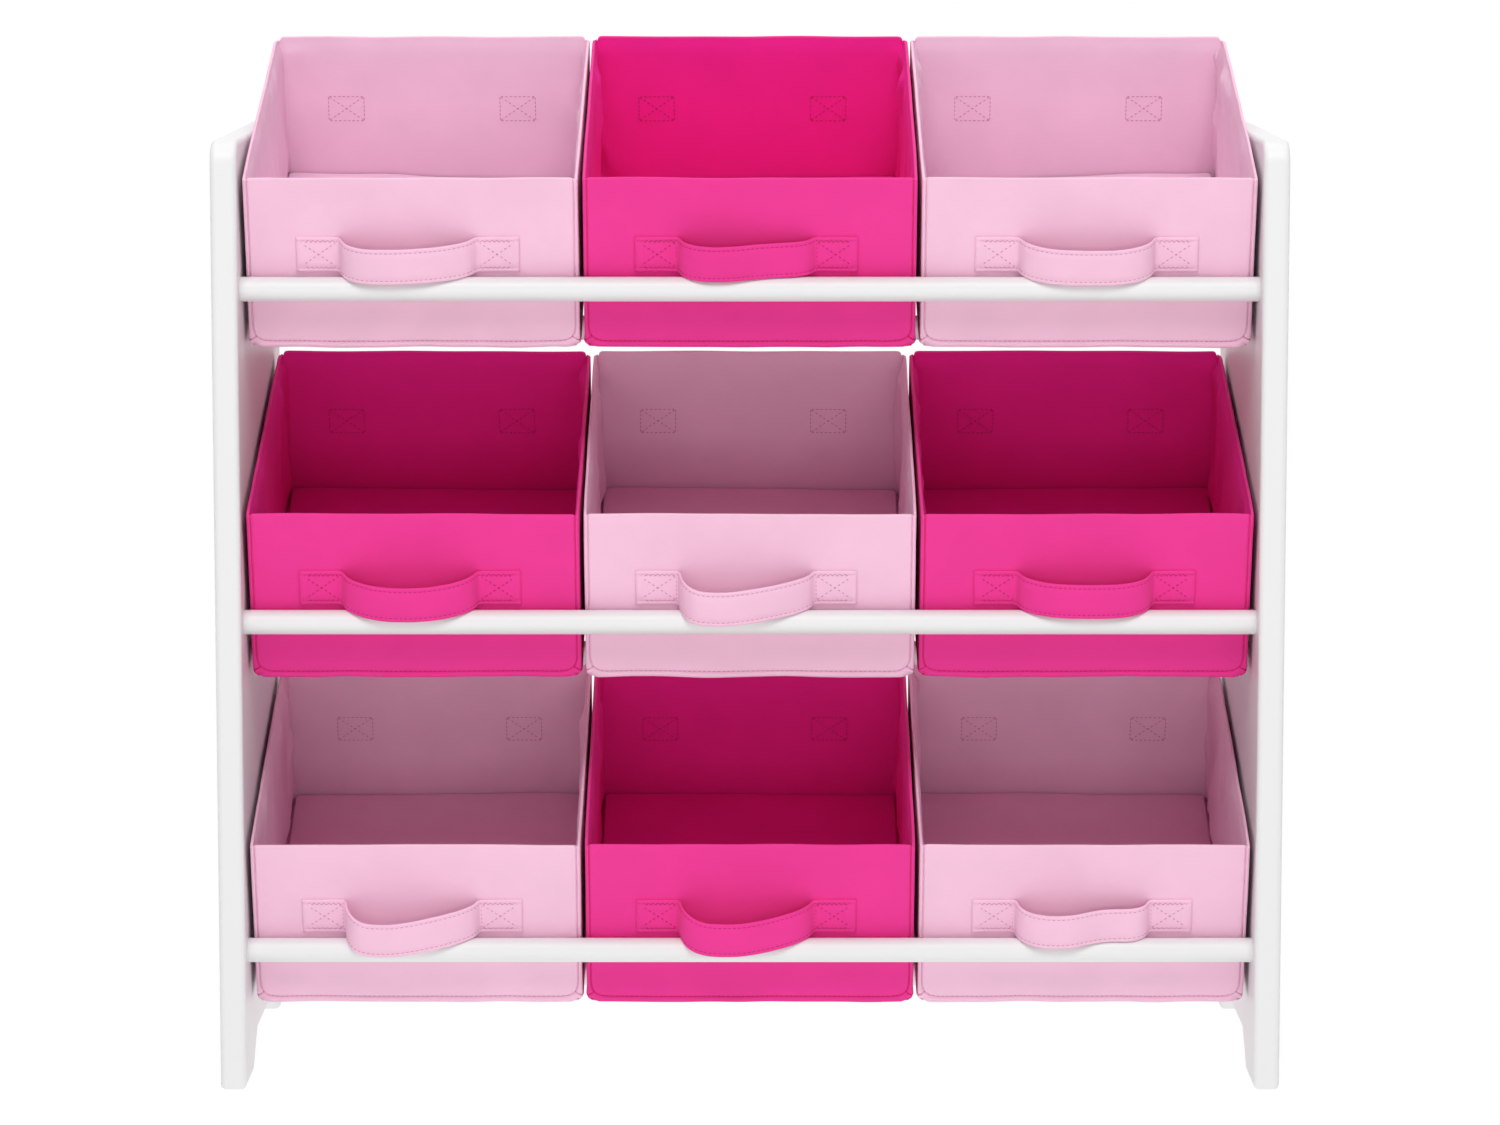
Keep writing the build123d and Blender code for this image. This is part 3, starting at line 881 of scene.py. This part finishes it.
def make_bin(box):
    """Everything that a bin shows: its cover, floor insert, straps and stitches."""
    make_cover(box)
    make_insert(box)
    stitches = Stitches(box)
    sew_hem(box, stitches)
    make_strap(box, False, FRONT_LOOPS[box.key], stitches)
    make_strap(box, True, REAR_LOOPS[box.key], stitches)
    stitches.finish()


def finish_frame_nodes():
    """Gives the panels, rails, screws and caps their finishes."""
    for name in frame["record"]["behaviour"]["bodies"]["frame"]:
        node = frame["nodes"][name]
        node.data.materials.clear()
        node.data.materials.append(FRAME_FINISHES[SLOT_OF[name]])


for one_bin in BINS:
    make_bin(one_bin)
finish_frame_nodes()

# ---------------------------------------------------------------- stage, light and camera


def lit_paper():
    """Evenly glowing white, which takes no shadows."""
    s = Shader("backdrop paper")
    s.set(Base_Color=(0.0, 0.0, 0.0, 1), Roughness=1.0, Specular_IOR_Level=0.0)
    s.set(Emission_Color=(1, 1, 1, 1), Emission_Strength=1.0)
    return s.material


def make_stage_piece(name, points, faces, paper):
    """A smooth-shaded mesh that is part of the stage."""
    mesh = bpy.data.meshes.new(name)
    mesh.from_pydata(points, [], faces)
    mesh.polygons.foreach_set("use_smooth", [True] * len(mesh.polygons))
    mesh.materials.append(paper)
    piece = bpy.data.objects.new(name, mesh)
    bpy.context.scene.collection.objects.link(piece)
    return piece


def make_stage():
    """A pale floor that runs up into a backdrop, and a pale wall all round that sheds no light."""
    half_width, front, bend_start, radius, top = 9.0, -7.0, 3.0, 2.5, 9.0
    section = [(front, 0.0)]
    section += [
        (bend_start + radius * math.sin(a), radius - radius * math.cos(a))
        for a in (math.radians(d) for d in spaced(0, 90, 16))
    ]
    section.append((bend_start + radius, top))
    points = [(x, y, z) for y, z in section for x in (-half_width, half_width)]
    paper = lit_paper()
    make_stage_piece("backdrop", points, grid_faces(len(section), 2), paper)

    sides, hole_radius, wall_radius, wall_top, wall_foot = 48, 0.5, 16.0, 16.0, -0.05
    corners = [(math.cos(a), math.sin(a)) for a in (math.tau * k / sides for k in range(sides))]
    points = [
        (x * r, y * r, z)
        for r, z in ((hole_radius, wall_foot), (wall_radius, wall_foot), (wall_radius, wall_top))
        for x, y in corners
    ]
    surround = make_stage_piece("surround", points, grid_faces(3, sides, wrap_columns=True), paper)
    surround.visible_diffuse = False
    surround.visible_glossy = False
    surround.visible_transmission = False
    surround.visible_shadow = False


def add_light(name, place, target, size, power):
    """A rectangular lamp, in metres and watts, turned to a target."""
    light = bpy.data.lights.new(name, "AREA")
    light.shape = "RECTANGLE"
    light.size, light.size_y = size
    light.energy = power
    lamp = bpy.data.objects.new(name, light)
    lamp.location = place
    lamp.rotation_euler = (Vector(target) - Vector(place)).to_track_quat("-Z", "Y").to_euler()
    bpy.context.scene.collection.objects.link(lamp)


def make_camera():
    """A long lens, a little above the organizer and looking slightly down at it."""
    distance_to_front, height, downward = 3.236, 0.733, math.radians(7.17)
    camera = bpy.data.cameras.new("camera")
    camera.sensor_width = 36.0
    camera.lens = 129.1
    holder = bpy.data.objects.new("camera", camera)
    holder.location = (0.0, cad_box[0][1] - distance_to_front, height)
    holder.rotation_euler = (math.pi / 2 - downward, 0, 0)
    bpy.context.scene.collection.objects.link(holder)
    bpy.context.scene.camera = holder


def make_world(strength):
    """Even white light from all round."""
    world = bpy.data.worlds.new("studio")
    world.use_nodes = True
    background = world.node_tree.nodes["Background"]
    background.inputs["Color"].default_value = (1, 1, 1, 1)
    background.inputs["Strength"].default_value = strength
    bpy.context.scene.world = world


make_stage()
add_light("key", place=(0, -3.4, 4.0), target=(0, 0, 0.35), size=(3.0, 2.2), power=118)
add_light("low fill", place=(0, -4.4, 0.2), target=(0, 0, 0.3), size=(3.0, 1.0), power=37)
add_light("top", place=(0, 0.2, 3.2), target=(0, 0.1, 0.6), size=(4.5, 1.5), power=40)
make_camera()
make_world(strength=0.32)
bpy.context.scene.view_settings.view_transform = "Standard"
